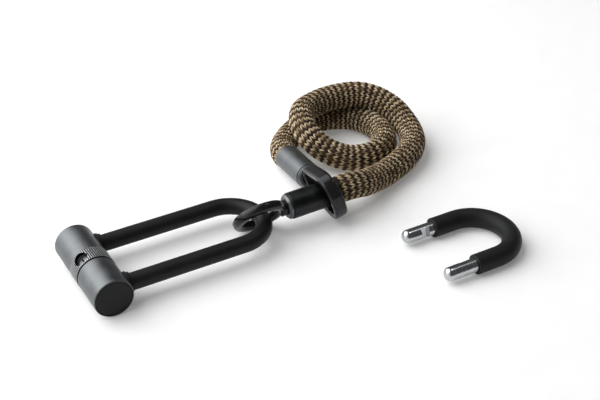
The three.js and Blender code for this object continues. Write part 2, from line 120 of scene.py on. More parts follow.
# the rope's centre line, from the small ferrule round two turns to the large ferrule
ROPE_POINTS = [
    (0.2445, -0.0085, 0.0266), (0.255, -0.0088, 0.0269), (0.268, -0.0075, 0.025), (0.282, -0.003, 0.0203),
    (0.298, 0.004, 0.0162), (0.32, 0.013, 0.0138), (0.344, 0.024, 0.0138), (0.3655, 0.041, 0.014),
    (0.3765, 0.06, 0.016), (0.38, 0.079, 0.0205), (0.3775, 0.0975, 0.028), (0.3675, 0.113, 0.035),
    (0.352, 0.1245, 0.0395), (0.3335, 0.13, 0.0405), (0.314, 0.131, 0.0405), (0.296, 0.1275, 0.0405),
    (0.281, 0.12, 0.0405), (0.272, 0.107, 0.0385), (0.2685, 0.0915, 0.0335), (0.2725, 0.076, 0.026),
    (0.282, 0.063, 0.0195), (0.295, 0.0535, 0.015), (0.311, 0.048, 0.0138), (0.328, 0.0495, 0.0137),
    (0.341, 0.058, 0.0137), (0.35, 0.0715, 0.0137), (0.3545, 0.0885, 0.0137), (0.3525, 0.107, 0.0137),
    (0.3435, 0.1235, 0.0137), (0.3275, 0.1345, 0.0137), (0.3095, 0.139, 0.0137), (0.291, 0.1365, 0.0137),
    (0.2745, 0.129, 0.0137), (0.2605, 0.1185, 0.0139), (0.25, 0.1075, 0.0142), (0.2438, 0.0955, 0.0149),
    (0.2419, 0.0853, 0.0161),
]

# the braid: rows of slanted picks that run round the rope in a zigzag, light and dark in turn
PICKS_ROUND = 32
BRAID_ROWS = 194
PICK_STEPS = 4  # mesh steps along and across one pick
ZIGZAG = 0.94  # height of the zigzag, in rows
PICK_RELIEF = 1.5 * MM
PICK_CREST = 0.6 * MM  # how far the highest picks stand out past the rope's radius
ROPE_TUCK = 6 * MM  # how far the braid goes into each ferrule
TUCKED_R = 11.2 * MM

# camera and light; angles in radians, powers in watts
CAMERA_HEADING, CAMERA_TILT, CAMERA_ROLL = 0.507, 0.581, -0.014
CAMERA_DISTANCE = 1.1659
CAMERA_TARGET = (0.2256, 0.0295, 0)
CAMERA_LENS = 70.96  # mm, on a 36 mm wide sensor
LIGHT_TARGET = (0.2, 0.02, 0.02)
KEY_AT, KEY_SIZE, KEY_POWER = (-0.7, 0.75, 1.4), 2.4, 42
GLINT_AT, GLINT_SIZE, GLINT_POWER = (0.85, -0.05, 1.45), 0.3, 1.6
WALL_DIRECTION = (-0.85, 0.5, 0.1)
WALL_STRENGTH = {"From Min": 0.25, "From Max": 0.9, "To Min": 0.09, "To Max": 1.6}

# ---------- places ----------
tube_low, tube_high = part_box("body_tube_far")
cap_near_box, cap_far_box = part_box("end_cap_near"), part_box("end_cap_far")
# the middle of the crossbar, and the point on the ground under it that all places are counted from
BAR = Vector((
    (tube_low.x + tube_high.x) / 2,
    (cap_near_box[0].y + cap_far_box[1].y) / 2,
    (tube_low.z + tube_high.z) / 2,
))
GROUND = BAR - Vector((0, 0, COVER_R))


def place(x, y, z):
    return GROUND + Vector((x, y, z))


# ---------- mesh tools ----------
SMOOTH_ANGLE = math.radians(32)


def new_object(name, verts, faces, uvs=None):
    """A mesh object; uvs holds one (u, v) for each corner of each face."""
    mesh = bpy.data.meshes.new(name)
    mesh.from_pydata([tuple(v) for v in verts], [], faces)
    if uvs is not None:
        layer = mesh.uv_layers.new(name="along")
        layer.data.foreach_set("uv", np.asarray(uvs, dtype=np.float32).ravel())
    made = bpy.data.objects.new(name, mesh)
    bpy.context.scene.collection.objects.link(made)
    return made


def finished(piece):
    """Smooth faces, crisp edges, and normals that keep flats flat."""
    piece.data.shade_smooth()
    piece.data.set_sharp_from_angle(angle=SMOOTH_ANGLE)
    normals = piece.modifiers.new("normals", "WEIGHTED_NORMAL")
    normals.keep_sharp = True
    return piece


def applied(piece):
    graph = bpy.context.evaluated_depsgraph_get()
    mesh = bpy.data.meshes.new_from_object(piece.evaluated_get(graph))
    piece.modifiers.clear()
    piece.data = mesh
    return piece


def boolean(piece, tool, operation):
    modifier = piece.modifiers.new(operation, "BOOLEAN")
    modifier.operation = operation
    modifier.solver = "EXACT"
    modifier.object = tool
    applied(piece)
    bpy.data.objects.remove(tool)
    return piece


def rounded(corners, closed=True, steps=5):
    """An outline through (x, y) or (x, y, radius) corners, where a radius rounds its corner."""
    outline = []
    for i, corner in enumerate(corners):
        point = np.array(corner[:2], float)
        if len(corner) < 3 or (not closed and i in (0, len(corners) - 1)):
            outline.append(point)
            continue
        before = np.array(corners[i - 1][:2], float) - point
        after = np.array(corners[(i + 1) % len(corners)][:2], float) - point
        before /= np.linalg.norm(before)
        after /= np.linalg.norm(after)
        half_angle = math.acos(float(np.clip(before @ after, -1, 1))) / 2
        setback = corner[2] / math.tan(half_angle)
        centre = point + (before + after) / np.linalg.norm(before + after) * corner[2] / math.sin(half_angle)
        start, end = point + before * setback - centre, point + after * setback - centre
        sweep = math.pi - 2 * half_angle
        for k in range(steps + 1):
            share = k / steps
            mixed = math.sin((1 - share) * sweep) * start + math.sin(share * sweep) * end
            outline.append(centre + mixed / math.sin(sweep))
    return outline


def divided(outline, longest):
    """The same closed outline with its long stretches cut into shorter steps."""
    result = []
    for a, b in zip(outline, outline[1:] + outline[:1]):
        count = max(1, math.ceil(np.linalg.norm(b - a) / longest))
        result += [a + (b - a) * k / count for k in range(count)]
    return result


class Route:
    """A centre line that gives its place and its cross directions at any distance along it."""

    def __init__(self, points, start=0.0):
        self.points = np.array([tuple(p) for p in points], float)
        steps = np.linalg.norm(np.diff(self.points, axis=0), axis=1)
        self.reach = start + np.concatenate([[0], np.cumsum(steps)])
        self.length = float(steps.sum())
        along = np.gradient(self.points, self.reach, axis=0)
        along /= np.linalg.norm(along, axis=1)[:, None]
        first = np.cross(along[0], (0, 0, 1) if abs(along[0][2]) < 0.9 else (0, 1, 0))
        side = [first / np.linalg.norm(first)]
        for direction in along[1:]:
            flat = side[-1] - direction * (side[-1] @ direction)
            side.append(flat / np.linalg.norm(flat))
        self.side = np.array(side)
        self.up = np.cross(self.side, along)

    def between(self, distance, values):
        return np.stack([np.interp(distance, self.reach, values[:, k]) for k in range(3)], -1)

    def at(self, distance):
        return tuple(self.between(distance, values) for values in (self.points, self.side, self.up))


def axis(origin, direction, half=0.25):
    """A straight route through origin, where distance 0 lies."""
    origin, direction = Vector(origin), Vector(direction).normalized()
    return Route([origin - direction * half, origin + direction * half], start=-half)


def turned(name, route, profile, sides=96):
    """A round piece about a route, from (radius, distance) points: closed, or ending on the axis."""
    verts, rows, marks = [], [], []
    angles = 2 * math.pi * np.arange(sides) / sides
    for radius, distance in profile:
        centre, side, up = route.at(distance)
        marks.append(distance)
        if radius < 1e-6:
            rows.append([len(verts)] * sides)
            verts.append(centre)
            continue
        rows.append(list(range(len(verts), len(verts) + sides)))
        verts += list(centre + radius * (np.outer(np.cos(angles), side) + np.outer(np.sin(angles), up)))
    open_ended = profile[0][0] < 1e-6 and profile[-1][0] < 1e-6
    last = len(rows) - 1 if open_ended else len(rows)
    faces, uvs = [], []
    for i in range(last):
        j = (i + 1) % len(rows)
        for k in range(sides):
            n = (k + 1) % sides
            corners = [(rows[i][k], k, i), (rows[j][k], k, j), (rows[j][n], k + 1, j), (rows[i][n], k + 1, i)]
            kept = [c for m, c in enumerate(corners) if c[0] not in [d[0] for d in corners[:m]]]
            faces.append([c[0] for c in kept])
            uvs += [(c[1] / sides, marks[c[2]] / 0.1) for c in kept]
    return new_object(name, verts, faces, uvs)


def loft(name, rings, closed=False):
    """Skin over rings of equally many points; an open loft gets flat ends."""
    count = len(rings[0])
    verts = [p for ring in rings for p in ring]
    faces = []
    for i in range(len(rings) if closed else len(rings) - 1):
        j = (i + 1) % len(rings)
        for k in range(count):
            n = (k + 1) % count
            faces.append((i * count + k, i * count + n, j * count + n, j * count + k))
    if not closed:
        faces.append(tuple(reversed(range(count))))
        faces.append(tuple(range(len(verts) - count, len(verts))))
    return new_object(name, verts, faces)


def moved(points, matrix):
    return [matrix @ Vector(p) for p in points]


def block(low, high, matrix=Matrix.Identity(4)):
    (x0, y0, z0), (x1, y1, z1) = low, high
    rings = [[(x0, y0, z), (x1, y0, z), (x1, y1, z), (x0, y1, z)] for z in (z0, z1)]
    return loft("tool", [moved(ring, matrix) for ring in rings])


def rod(route, radius, low, high, sides=96):
    return turned("tool", route, [(0, low), (radius, low), (radius, high), (0, high)], sides)


# ---------- materials ----------
class Nodes:
    """A material's node tree, with short ways to add what the finishes below are made of."""

    def __init__(self, name, **values):
        self.material = bpy.data.materials.new(name)
        self.material.use_nodes = True
        self.tree = self.material.node_tree
        self.shader = self.tree.nodes["Principled BSDF"]
        for socket, value in values.items():
            self.shader.inputs[socket.replace("_", " ")].default_value = value

    @classmethod
    def of(cls, material):
        """The same short ways, on a material that is already made."""
        nodes = cls.__new__(cls)
        nodes.material, nodes.tree = material, material.node_tree
        nodes.shader = material.node_tree.nodes["Principled BSDF"]
        return nodes

    def add(self, kind, inputs=None, **settings):
        node = self.tree.nodes.new(kind)
        for key, value in settings.items():
            setattr(node, key, value)
        for key, value in (inputs or {}).items():
            if isinstance(value, bpy.types.NodeSocket):
                self.tree.links.new(value, node.inputs[key])
            else:
                node.inputs[key].default_value = value
        return node.outputs[0]

    def math(self, operation, a, b=0.0):
        return self.add("ShaderNodeMath", {0: a, 1: b}, operation=operation)

    def coordinates(self, scale, source="Object"):
        node = self.tree.nodes.new("ShaderNodeTexCoord")
        return self.add("ShaderNodeMapping", {"Vector": node.outputs[source], "Scale": scale})

    def noise(self, scale, source="Object", detail=3.0, roughness=0.55):
        vector = self.coordinates(scale, source)
        return self.add("ShaderNodeTexNoise", {
            "Vector": vector, "Scale": 1.0, "Detail": detail, "Roughness": roughness})

    def range(self, value, low, high, start=0.3, end=0.7):
        return self.add("ShaderNodeMapRange", {
            "Value": value, "From Min": start, "From Max": end, "To Min": low, "To Max": high})

    def mixed(self, factor, first, second):
        node = self.tree.nodes.new("ShaderNodeMixRGB")
        for socket, value in zip(("Fac", "Color1", "Color2"), (factor, first, second)):
            self.tree.links.new(value, node.inputs[socket])
        return node.outputs["Color"]

    def multiplied(self, first, second):
        node = self.tree.nodes.new("ShaderNodeMixRGB")
        node.blend_type = "MULTIPLY"
        node.inputs["Fac"].default_value = 1
        self.tree.links.new(first, node.inputs["Color1"])
        self.tree.links.new(second, node.inputs["Color2"])
        return node.outputs["Color"]

    def ramp(self, factor, dark, light, start=0.3, end=0.7):
        node = self.tree.nodes.new("ShaderNodeValToRGB")
        self.tree.links.new(factor, node.inputs["Fac"])
        for element, position, colour in zip(node.color_ramp.elements, (start, end), (dark, light)):
            element.position = position
            element.color = (*colour, 1)
        return node.outputs["Color"]

    def bump(self, height, strength, depth, normal=None):
        inputs = {"Height": height, "Strength": strength, "Distance": depth}
        if normal is not None:
            inputs["Normal"] = normal
        return self.add("ShaderNodeBump", inputs)

    def link(self, value, socket):
        self.tree.links.new(value, self.shader.inputs[socket])


def satin_metal(name, dark, light, roughness, spread=0.05):
    """Blasted, anodised metal: fine grain, faint lathe lines and soft clouds of handling."""
    nodes = Nodes(name, Metallic=1.0)
    grain = nodes.noise((5200, 5200, 5200), detail=2.0)
    clouds = nodes.noise((90, 90, 90), detail=4.0)
    lines = nodes.noise((3, 240, 1), source="UV", detail=2.0)
    nodes.link(nodes.ramp(clouds, dark, light), "Base Color")
    nodes.link(nodes.range(clouds, roughness - spread, roughness + spread), "Roughness")
    coarse = nodes.bump(lines, 0.12, 0.06 * MM)
    nodes.link(nodes.bump(grain, 0.16, 0.05 * MM, coarse), "Normal")
    return nodes.material


def grooved_metal():
    """The ribbed cover's satin metal, with painted shade that turns it black down in the grooves between its
    ribs.
    """
    material = satin_metal("cover_finish", (0.3, 0.308, 0.314), (0.4, 0.41, 0.416), 0.36)
    nodes = Nodes.of(material)
    place_node = nodes.tree.nodes.new("ShaderNodeTexCoord")
    shift = nodes.add("ShaderNodeVectorMath", {0: place_node.outputs["Object"], 1: BAR}, operation="SUBTRACT")
    flat = nodes.add("ShaderNodeVectorMath", {0: shift, 1: (1, 0, 1)}, operation="MULTIPLY")
    measure = nodes.tree.nodes.new("ShaderNodeVectorMath")
    measure.operation = "LENGTH"
    nodes.tree.links.new(flat, measure.inputs[0])
    depth = measure.outputs["Value"]
    share = nodes.range(depth, 0, 1, COVER_R - 0.5 * RIB_HEIGHT, COVER_R - 0.08 * RIB_HEIGHT)
    metal = nodes.shader.inputs["Base Color"].links[0].from_socket
    # painted shade: the base colour is multiplied towards near black where the surface lies deep in a rib
    # groove, measured by distance from the bar's axis
    painted_groove_shade = nodes.ramp(share, (0.008, 0.008, 0.009), (1, 1, 1), 0, 1)
    nodes.link(nodes.multiplied(metal, painted_groove_shade), "Base Color")
    return material


def moulded(name, dark, light, roughness, grain_scale, grain_depth, sheen=0.0):
    """Moulded plastic or a dipped coating: pebbled skin, scuffs and uneven gloss."""
    nodes = Nodes(name, Specular_IOR_Level=0.18, Sheen_Weight=sheen, Sheen_Roughness=0.4)
    grain = nodes.noise((grain_scale,) * 3, detail=2.5)
    clouds = nodes.noise((55, 55, 55), detail=5.0, roughness=0.65)
    nodes.link(nodes.ramp(clouds, dark, light), "Base Color")
    nodes.link(nodes.range(clouds, roughness - 0.06, roughness + 0.07), "Roughness")
    wavy = nodes.bump(nodes.noise((320, 320, 320)), 0.1, 0.2 * MM)
    nodes.link(nodes.bump(grain, 0.35, grain_depth, wavy), "Normal")
    return nodes.material


def gloss_black_steel():
    """Forged steel under thick black enamel, a little uneven like orange peel."""
    nodes = Nodes(
        "gloss_black_steel", Metallic=0.0, Specular_IOR_Level=0.2, Coat_Weight=0.18, Coat_Roughness=0.04)
    peel = nodes.noise((260, 260, 260), detail=2.0)
    clouds = nodes.noise((70, 70, 70), detail=4.0)
    nodes.link(nodes.ramp(clouds, (0.005, 0.005, 0.006), (0.014, 0.014, 0.015)), "Base Color")
    nodes.link(nodes.range(clouds, 0.12, 0.22), "Roughness")
    nodes.link(nodes.bump(peel, 0.12, 0.25 * MM), "Normal")
    return nodes.material


def plated_steel(name, dark, light, roughness, line_strength):
    """Chromed or ground steel with fine marks round each bar."""
    nodes = Nodes(name, Metallic=1.0)
    lines = nodes.noise((2, 300, 1), source="UV", detail=3.0)
    clouds = nodes.noise((120, 120, 120), detail=4.0)
    nodes.link(nodes.ramp(clouds, dark, light), "Base Color")
    nodes.link(nodes.range(lines, roughness * 0.7, roughness * 1.4), "Roughness")
    nodes.link(nodes.bump(lines, line_strength, 0.04 * MM), "Normal")
    return nodes.material


def brass():
    nodes = Nodes("brass_finish", Metallic=1.0)
    clouds = nodes.noise((150, 150, 150), detail=4.0)
    nodes.link(nodes.ramp(clouds, (0.42, 0.3, 0.12), (0.6, 0.46, 0.2)), "Base Color")
    nodes.link(nodes.range(clouds, 0.3, 0.45), "Roughness")
    nodes.link(nodes.bump(nodes.noise((3000, 3000, 3000)), 0.15, 0.05 * MM), "Normal")
    return nodes.material


def braid_finish():
    """Yarn picks, one in each whole step of the UV map; rows take turns between tan and brown, and painted
    shade darkens each pick towards its edges.
    """
    nodes = Nodes("braid_yarn", Roughness=0.8, Specular_IOR_Level=0.3, Sheen_Weight=0.06, Sheen_Roughness=0.4)
    uv = nodes.coordinates((1, 1, 1), "UV")
    parts = nodes.tree.nodes.new("ShaderNodeSeparateXYZ")
    nodes.tree.links.new(uv, parts.inputs[0])
    column, row = parts.outputs["X"], parts.outputs["Y"]
    dark_row = nodes.math("MODULO", nodes.math("FLOOR", row), 2.0)
    cell = nodes.add("ShaderNodeCombineXYZ", {
        "X": nodes.math("FLOOR", column), "Y": nodes.math("FLOOR", row)})
    pick_tone = nodes.add("ShaderNodeTexWhiteNoise", {"Vector": cell}, noise_dimensions="3D")
    fibre = nodes.noise((2.2, 16, 1), source="UV", detail=3.0, roughness=0.6)
    tone = nodes.math("ADD", nodes.math("MULTIPLY", pick_tone, 0.45), nodes.math("MULTIPLY", fibre, 0.55))
    tan = nodes.ramp(tone, (0.22, 0.14, 0.062), (0.84, 0.68, 0.44), 0.26, 0.72)
    brown = nodes.ramp(tone, (0.008, 0.004, 0.002), (0.13, 0.07, 0.03), 0.3, 0.85)
    # painted shade: each pick's colour falls to near black towards its edges, in the crevices where the picks
    # meet
    across = nodes.math("SINE", nodes.math("MULTIPLY", nodes.math("FRACT", row), math.pi))
    along = nodes.math("SINE", nodes.math("MULTIPLY", nodes.math("FRACT", column), math.pi))
    height = nodes.math("MULTIPLY", nodes.math("POWER", across, 0.5), nodes.math("POWER", along, 0.8))
    painted_crevice_shade = nodes.ramp(height, (0.07, 0.042, 0.024), (1, 1, 1), 0.0, 0.82)
    yarn = nodes.mixed(dark_row, tan, brown)
    nodes.link(nodes.multiplied(yarn, painted_crevice_shade), "Base Color")
    nodes.link(nodes.bump(fibre, 0.5, 0.25 * MM), "Normal")
    return nodes.material


MATERIALS = {
    "gunmetal": satin_metal("gunmetal_finish", (0.125, 0.133, 0.139), (0.165, 0.175, 0.181), 0.43),
    "cover": grooved_metal(),
    "dark_metal": satin_metal("dark_metal_finish", (0.026, 0.027, 0.028), (0.036, 0.037, 0.038), 0.4),
    "plastic": moulded("cap_plastic", (0.009, 0.0095, 0.0095), (0.014, 0.0148, 0.0148), 0.5, 2600, 0.08 * MM),
    "dipped": moulded(
        "dipped_coating", (0.009, 0.0098, 0.0095), (0.014, 0.0148, 0.0145), 0.42, 1500, 0.08 * MM),
    "soft": moulded(
        "soft_coating", (0.008, 0.0085, 0.0085), (0.013, 0.0135, 0.0135), 0.55, 1900, 0.14 * MM, 0.05),
    "enamel": gloss_black_steel(),
    "chrome": plated_steel("chrome_finish", (0.42, 0.435, 0.45), (0.55, 0.565, 0.58), 0.2, 0.08),
    "steel": plated_steel("ground_steel", (0.36, 0.37, 0.38), (0.48, 0.49, 0.5), 0.34, 0.15),
    "brass": brass(),
    "braid": braid_finish(),
}


def fit_out(piece, body, slot, material, *replaced):
    piece.data.materials.clear()
    piece.data.materials.append(MATERIALS[material])
    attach(piece, body)
    if replaced:
        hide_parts(*replaced)
    return piece


# ---------- camera ----------
def camera():
    heading, tilt, roll = CAMERA_HEADING, CAMERA_TILT, CAMERA_ROLL
    data = bpy.data.cameras.new("camera")
    data.sensor_width = 36
    data.lens = CAMERA_LENS
    made = bpy.data.objects.new("camera", data)
    bpy.context.scene.collection.objects.link(made)
    reach = math.cos(tilt)
    forward = Vector((math.sin(heading) * reach, math.cos(heading) * reach, -math.sin(tilt)))
    level = Vector((math.cos(heading), -math.sin(heading), 0))
    upward = level.cross(forward)
    right = level * math.cos(roll) + upward * math.sin(roll)
    up = upward * math.cos(roll) - level * math.sin(roll)
    position = place(*CAMERA_TARGET) - forward * CAMERA_DISTANCE
    made.matrix_world = Matrix.Translation(position) @ Matrix((right, up, -forward)).transposed().to_4x4()
    bpy.context.scene.camera = made


# ---------- rope ----------
def knot_mix(t, low, high, first, second):
    return ((high - t) * first + (t - low) * second) / (high - low)


def smooth_curve(points, steps=40):
    """Centripetal Catmull-Rom curve through the points."""
    p = np.array(points, float)
    p = np.vstack([2 * p[0] - p[1], p, 2 * p[-1] - p[-2]])
    curve = []
    for a, b, c, d in zip(p, p[1:], p[2:], p[3:]):
        knots = np.cumsum([0] + [math.sqrt(np.linalg.norm(v)) for v in (b - a, c - b, d - c)])
        t = np.linspace(knots[1], knots[2], steps, endpoint=False)[:, None]
        ab = knot_mix(t, knots[0], knots[1], a, b)
        bc = knot_mix(t, knots[1], knots[2], b, c)
        cd = knot_mix(t, knots[2], knots[3], c, d)
        abc = knot_mix(t, knots[0], knots[2], ab, bc)
        bcd = knot_mix(t, knots[1], knots[3], bc, cd)
        curve.append(knot_mix(t, knots[1], knots[2], abc, bcd))
    return np.vstack([*curve, p[-2:-1]])


def aim_matrix(position, aim):
    """A frame whose +X points along a ferrule, turned by yaw about Z and pitched up."""
    yaw, pitch = aim
    return Matrix.Translation(position) @ Matrix.Rotation(yaw, 4, "Z") @ Matrix.Rotation(-pitch, 4, "Y")


SMALL_FRAME = aim_matrix(place(*SMALL_EYE_AT), SMALL_AIM)
LARGE_FRAME = aim_matrix(place(*LARGE_FERRULE_AT), LARGE_AIM)


def rope_route():
    """The rope's whole centre line, with both ends tucked straight into their ferrules."""
    points = [place(*p) for p in ROPE_POINTS]
    into_small = points[0] - SMALL_FRAME.to_3x3().col[0] * ROPE_TUCK
    into_large = points[-1] - LARGE_FRAME.to_3x3().col[0] * ROPE_TUCK
    return Route(smooth_curve([into_small, *points, into_large]))


def braid_radius(distance, length):
    """The rope narrows where it enters a ferrule."""
    depth = np.minimum(distance, length - distance)
    share = np.clip((depth - ROPE_TUCK + 1.5 * MM) / (4 * MM), 0, 1)
    share = share * share * (3 - 2 * share)
    return TUCKED_R + (ROPE_R - TUCKED_R) * share


def braided_rope():
    route = rope_route()
    columns, rows = PICKS_ROUND * PICK_STEPS, BRAID_ROWS * PICK_STEPS
    pitch = route.length / (BRAID_ROWS + ZIGZAG)
    across = np.arange(columns) / PICK_STEPS
    along = np.arange(rows + 1)[:, None] / PICK_STEPS
    zigzag = 1 - np.abs(across % 2 - 1)
    distance = (along + ZIGZAG * zigzag) * pitch
    swell = np.random.default_rng(7).uniform(0.82, 1.0, (BRAID_ROWS + 1, PICKS_ROUND))
    picked = swell[along.astype(int)[:, 0]][:, across.astype(int)]
    crown = np.abs(np.sin(np.pi * along)) ** 0.6
    belly = 0.15 + 0.85 * np.abs(np.sin(np.pi * across)) ** 0.7
    radius = braid_radius(distance, route.length) + PICK_CREST - PICK_RELIEF * (1 - crown * belly * picked)
    centre, side, up = route.at(distance)
    angle = 2 * np.pi * across / PICKS_ROUND
    outward = np.cos(angle)[:, None] * side + np.sin(angle)[:, None] * up
    skin = centre + radius[..., None] * outward
    verts = list(skin.reshape(-1, 3))
    faces, uvs = [], []
    for i in range(rows):
        for j in range(columns):
            n = (j + 1) % columns
            faces.append((i * columns + j, i * columns + n, (i + 1) * columns + n, (i + 1) * columns + j))
            u, v = across[j], i / PICK_STEPS
            step = 1 / PICK_STEPS
            uvs += [(u, v), (u + step, v), (u + step, v + step), (u, v + step)]
    for row, distance_here in ((0, 0.0), (rows, route.length)):
        hub = len(verts)
        verts.append(route.at(distance_here)[0])
        for j in range(columns):
            pair = [row * columns + j, row * columns + (j + 1) % columns]
            faces.append((hub, *(pair if row else pair[::-1])))
            uvs += [(0.5, 0.5)] * 3
    piece = new_object("braided_rope", verts, faces, uvs)
    piece.data.shade_smooth()
    fit_out(piece, "eyelet_rope", "rope_textile", "braid", "rope_sleeve", "rope_core")
    return piece


# ---------- crossbar ----------
BAR_AXIS = axis(BAR, (0, 1, 0))
TUBE_BORE = BAR_R - TUBE_WALL
BAR_HALF = BAR_LENGTH / 2
COVER_HALF = COVER_WIDTH / 2


def both_ways(profile, side):
    """A (radius, distance) profile made for the far side, mirrored for the near side."""
    return [(r, side * d) for r, d in profile]


def leg_axis(side):
    return axis(BAR + Vector((0, side * LEG_SPACING / 2, 0)), (1, 0, 0))


def body_tube(name, side, inside, node):
    seat = CAP_R + GAP
    floor = BAR_HALF - CAP_RIM - GAP
    profile = rounded([
        (TUBE_BORE, inside, 0.3 * MM), (BAR_R, inside, 0.35 * MM), (BAR_R, BAR_HALF, 0.75 * MM),
        (seat, BAR_HALF, 0.2 * MM), (seat, floor), (TUBE_BORE, floor)])
    tube = turned(name, BAR_AXIS, both_ways(profile, side), 128)
    boolean(tube, rod(leg_axis(side), COLLAR_R + GAP, 0, BAR_R * 1.3), "DIFFERENCE")
    return fit_out(finished(tube), "crossbar", "gunmetal", "gunmetal", node)


def end_cap(name, side, node):
    rim_back, face = BAR_HALF - CAP_RIM, BAR_HALF - 0.1 * MM
    plug_r = TUBE_BORE - GAP
    profile = rounded([
        (0, rim_back - 3.4 * MM), (plug_r, rim_back - 3.4 * MM, 0.4 * MM), (plug_r, rim_back),
        (CAP_R, rim_back), (CAP_R, face - 0.25 * MM, 0.9 * MM), (CAP_R * 0.8, face), (0, face)], closed=False)
    cap = turned(name, BAR_AXIS, both_ways(profile, side), 128)
    return fit_out(finished(cap), "crossbar", "black_plastic", "plastic", node)


def leg_collar(name, side, node):
    inner = STEEL_R + 0.5 * GAP
    lip, waist = COLLAR_R - 1.2 * MM, COLLAR_R - 2.2 * MM
    root, flange, step = 12 * MM, COLLAR_FACE - 2.6 * MM, COLLAR_FACE - 1.7 * MM
    profile = rounded([
        (inner, root), (COLLAR_R, root), (COLLAR_R, flange, 0.5 * MM), (waist, flange, 0.2 * MM),
        (waist, step, 0.2 * MM), (lip, step, 0.2 * MM), (lip, COLLAR_FACE, 0.5 * MM), (inner, COLLAR_FACE)])
    collar = turned(name, leg_axis(side), profile)
    boolean(collar, rod(BAR_AXIS, TUBE_BORE, -BAR_HALF, BAR_HALF), "DIFFERENCE")
    return fit_out(finished(collar), "crossbar", "black_plastic", "plastic", node)


def seam_ring():
    outside, far = BAR_R - 2 * GAP, -COVER_HALF - GAP
    profile = rounded([
        (TUBE_BORE, far - SEAL_WIDTH), (outside, far - SEAL_WIDTH, 0.25 * MM), (outside, far, 0.25 * MM),
        (TUBE_BORE, far)])
    ring = turned("seam_ring", BAR_AXIS, profile, 128)
    return fit_out(finished(ring), "crossbar", "black_rubber", "soft", "cover_seal")


# the key frame has +Z along the keyhole, which is turned up from -X by KEY_TILT
KEY_FRAME = Matrix.Translation(BAR) @ Matrix.Rotation(KEY_TILT - math.pi / 2, 4, "Y")
KEY_AXIS = axis(BAR, KEY_FRAME.to_3x3().col[2])


def ribbed_ring(lift):
    """The cover's outside with its ribs, as (angle, radius) points; lift lowers the whole outline."""
    crest = [(0.02, 1), (0.4, 1), (0.45, 0.93), (0.5, 0.1), (0.54, 0), (0.89, 0), (0.93, 0.1), (0.97, 0.93)]
    return [
        (2 * math.pi * (rib + share) / COVER_RIBS, COVER_R - lift - RIB_HEIGHT * (1 - height))
        for rib in range(COVER_RIBS) for share, height in crest]


def ribbed_cover():
    """A sleeve with axial ribs and a round window over the keyhole."""
    edge = 0.3 * MM
    rings = []
    for y, lift in ((-COVER_HALF, edge), (edge - COVER_HALF, 0), (COVER_HALF - edge, 0), (COVER_HALF, edge)):
        outline = ribbed_ring(lift)
        rings.append([BAR + Vector((r * math.cos(a), y, r * math.sin(a))) for a, r in outline])
    for y in (COVER_HALF, -COVER_HALF):
        bore = [(a, TUBE_BORE) for a, _ in ribbed_ring(0)]
        rings.append([BAR + Vector((r * math.cos(a), y, r * math.sin(a))) for a, r in bore])
    cover = loft("ribbed_cover", rings, closed=True)
    boolean(cover, rod(KEY_AXIS, WINDOW_R, 0, COVER_R * 1.4), "DIFFERENCE")
    return fit_out(finished(cover), "dust_cover", "gunmetal", "cover", "dust_cover")


def cylinder_rim():
    profile = rounded([
        (PLUG_R + GAP / 2, CYLINDER_BACK), (CYLINDER_R, CYLINDER_BACK), (CYLINDER_R, CYLINDER_FACE, 0.5 * MM),
        (PLUG_R + GAP / 2, CYLINDER_FACE + 0.5 * MM, 0.2 * MM)])
    rim = turned("cylinder_rim", KEY_AXIS, profile)
    return fit_out(finished(rim), "crossbar", "inner_steel", "gunmetal", "cylinder_shell")


def keyway_plug():
    depth, wide, high = 10 * MM, 0.7 * MM, 3.4 * MM
    face = CYLINDER_FACE + 0.4 * MM
    back = CYLINDER_FACE - depth - 2 * MM
    profile = rounded([(0, back), (PLUG_R, back), (PLUG_R, face, 0.4 * MM), (0, face)], closed=False)
    plug = turned("keyway_plug", KEY_AXIS, profile)
    boolean(plug, block((-wide, -high, face - depth), (wide, high, face + 5 * MM), KEY_FRAME), "DIFFERENCE")
    return fit_out(finished(plug), "key_plug", "inner_steel", "gunmetal", "key_plug")


def crossbar():
    body_tube("tube_far", 1, COVER_HALF + GAP, "body_tube_far")
    body_tube("tube_near", -1, COVER_HALF + SEAL_WIDTH + 2 * GAP, "body_tube_near")
    end_cap("cap_far", 1, "end_cap_far")
    end_cap("cap_near", -1, "end_cap_near")
    leg_collar("collar_far", 1, "leg_collar_far")
    leg_collar("collar_near", -1, "leg_collar_near")
    seam_ring()
    ribbed_cover()
    cylinder_rim()
    keyway_plug()


# ---------- shackles ----------
def u_route(centre, straight):
    """From the near leg's tip round the bow to the far leg's tip."""
    radius = LEG_SPACING / 2
    end = straight + BARE_LENGTH
    leg = np.linspace(-end, 0, 80)[:-1]
    bow = np.linspace(-math.pi / 2, math.pi / 2, 97)
    near = [(x, -radius, 0) for x in leg]
    middle = [(radius * math.cos(a), radius * math.sin(a), 0) for a in bow]
    far = [(x, radius, 0) for x in leg[::-1]]
    return Route([centre + Vector(p) for p in near + middle + far])


def tip_profile():
    """The domed end of a leg, as (share of the radius, distance from the tip in mm)."""
    return [
        (0, 0), (0.18, 0.08), (0.36, 0.36), (0.54, 0.9), (0.7, 1.6), (0.83, 2.45), (0.92, 3.4), (0.975, 4.6),
        (1, 6.2)]


def shackle_bar(name, centre, straight, body, node):
    route = u_route(centre, straight)
    tip = [(share * STEEL_R, distance * MM) for share, distance in tip_profile()]
    run = [(STEEL_R, d) for d in np.linspace(7 * MM, route.length - 7 * MM, 170)]
    profile = tip + run + [(r, route.length - d) for r, d in reversed(tip)]
    bar = turned(name, route, profile, 64)
    for side in (-1, 1):
        start = -straight - BARE_LENGTH + NOTCH_START
        floor_at = side * (LEG_SPACING / 2 - STEEL_R + NOTCH_DEPTH)
        clear_at = side * (LEG_SPACING / 2 - 2 * STEEL_R)
        low, high = sorted((floor_at, clear_at))
        tool = block((start, low, -10 * MM), (start + NOTCH_WIDTH, high, 10 * MM), Matrix.Translation(centre))
        boolean(bar, tool, "DIFFERENCE")
    return fit_out(finished(bar), body, "chrome", "chrome", node)


